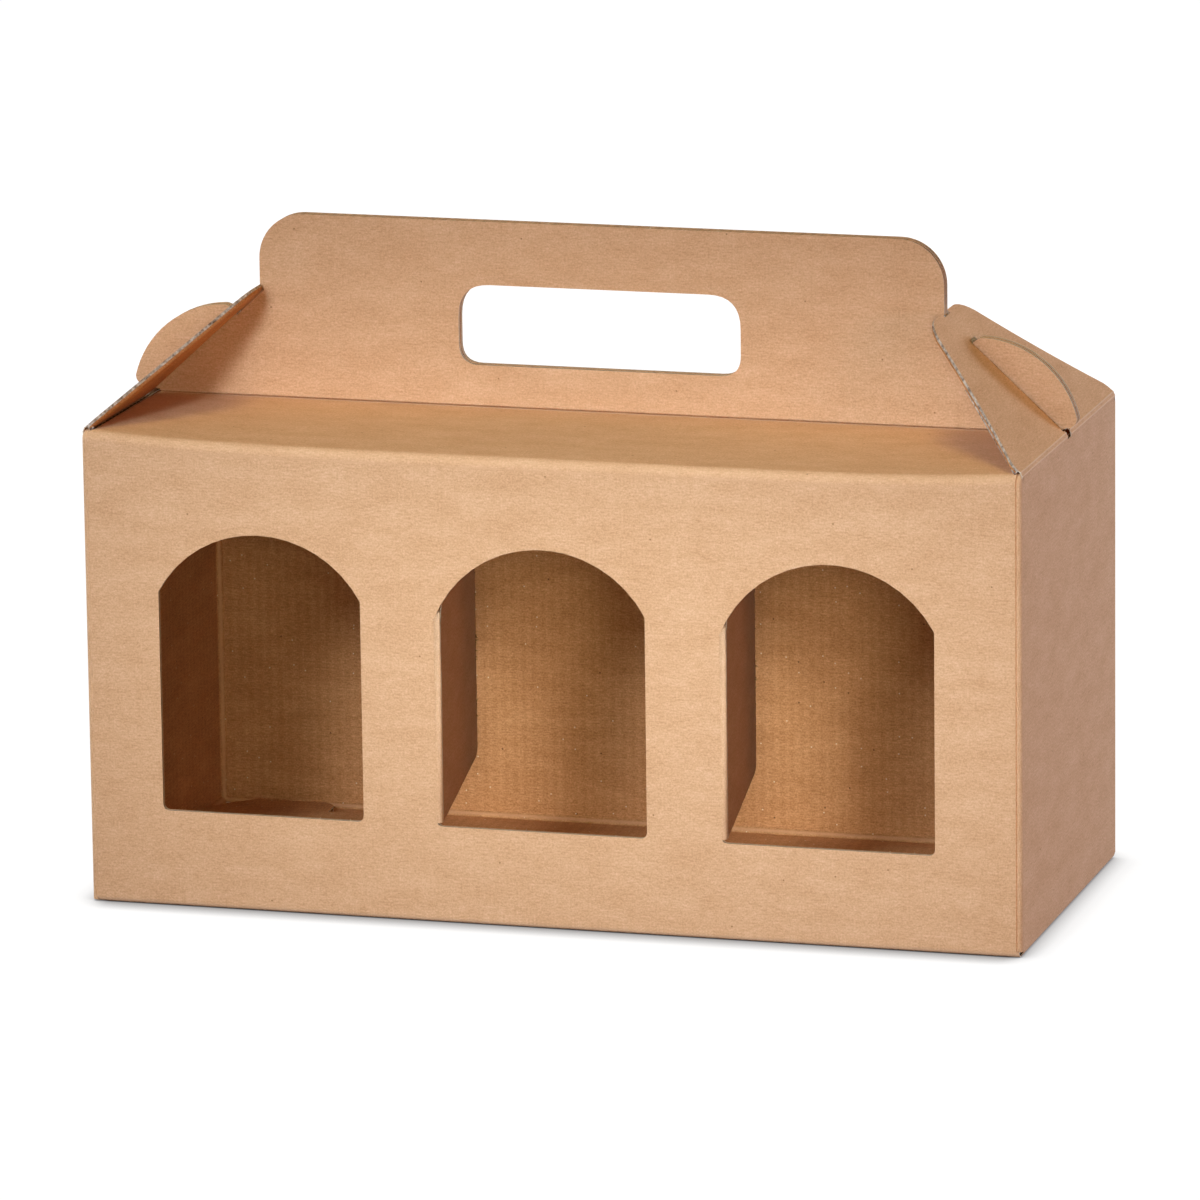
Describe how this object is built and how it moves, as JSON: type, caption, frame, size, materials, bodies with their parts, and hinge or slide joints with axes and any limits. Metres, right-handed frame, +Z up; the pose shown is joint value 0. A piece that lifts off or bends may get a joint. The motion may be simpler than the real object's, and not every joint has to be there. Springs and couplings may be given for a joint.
{
  "type": "window carry box",
  "caption": "Folded kraft corrugated carry box with arched front windows, divider flaps, gable ends hooked on the handle's ears, and a layered handle with a hand slot.",
  "frame": {"origin": "on the table under the middle of the box", "axes": "+X along the length to the right, +Y from front to back, +Z up; the windows face -Y"},
  "size_m": [0.2954, 0.123, 0.203],
  "materials": {
    "kraft_board": "matt, light brown, fine fibres",
    "kraft_inside": "matt, darker brown, speckled"
  },
  "bodies": {
    "carton": {"front_wall": "kraft_board", "back_wall": "kraft_board", "left_side_wall": "kraft_board", "right_side_wall": "kraft_board", "glue_flap": "kraft_inside", "front_floor_flap": "kraft_inside", "back_floor_flap": "kraft_inside", "floor_lock_tongue": "kraft_inside", "left_floor_flap": "kraft_inside", "right_floor_flap": "kraft_inside"},
    "front_roof": {"front_roof_panel": "kraft_board"},
    "back_roof": {"back_roof_panel": "kraft_board"},
    "front_handle": {"front_handle_panel": "kraft_board"},
    "back_handle": {"back_handle_panel": "kraft_board"},
    "left_gable": {"left_gable_flap": "kraft_board"},
    "right_gable": {"right_gable_flap": "kraft_board"},
    "left_divider": {"left_divider_flap": "kraft_board"},
    "right_divider": {"right_divider_flap": "kraft_board"}
  },
  "joints": [
    {"name": "front_roof_lift", "type": "hinge", "parent": "carton", "child": "front_roof", "pos_m": [0, -0.0615, 0.146], "axis": [1, 0, 0], "range_deg": [0, 47]},
    {"name": "back_roof_lift", "type": "hinge", "parent": "carton", "child": "back_roof", "pos_m": [0, 0.0615, 0.146], "axis": [-1, 0, 0], "range_deg": [0, 47]},
    {"name": "front_handle_fold", "type": "hinge", "parent": "front_roof", "child": "front_handle", "pos_m": [0, -0.0004, 0.1444], "axis": [-1, 0, 0], "range_deg": [0, 47]},
    {"name": "back_handle_fold", "type": "hinge", "parent": "back_roof", "child": "back_handle", "pos_m": [0, 0.0004, 0.1444], "axis": [1, 0, 0], "range_deg": [0, 47]},
    {"name": "left_gable_swing", "type": "hinge", "parent": "carton", "child": "left_gable", "pos_m": [-0.145, 0, 0.146], "axis": [0, -1, 0], "range_deg": [0, 221]},
    {"name": "right_gable_swing", "type": "hinge", "parent": "carton", "child": "right_gable", "pos_m": [0.145, 0, 0.146], "axis": [0, 1, 0], "range_deg": [0, 221]},
    {"name": "left_divider_swing", "type": "hinge", "parent": "carton", "child": "left_divider", "pos_m": [-0.0353, -0.0599, 0.065], "axis": [0, 0, 1], "range_deg": [-97.5, 75]},
    {"name": "right_divider_swing", "type": "hinge", "parent": "carton", "child": "right_divider", "pos_m": [0.0531, -0.0599, 0.065], "axis": [0, 0, 1], "range_deg": [-97.5, 75]}
  ],
  "couplings": [
    {"joint": "back_roof_lift", "follows": "front_roof_lift", "ratio": 1},
    {"joint": "front_handle_fold", "follows": "front_roof_lift", "ratio": 1},
    {"joint": "back_handle_fold", "follows": "front_roof_lift", "ratio": 1},
    {"joint": "left_gable_swing", "follows": "front_roof_lift", "ratio": 4.7},
    {"joint": "right_gable_swing", "follows": "front_roof_lift", "ratio": 4.7}
  ]
}
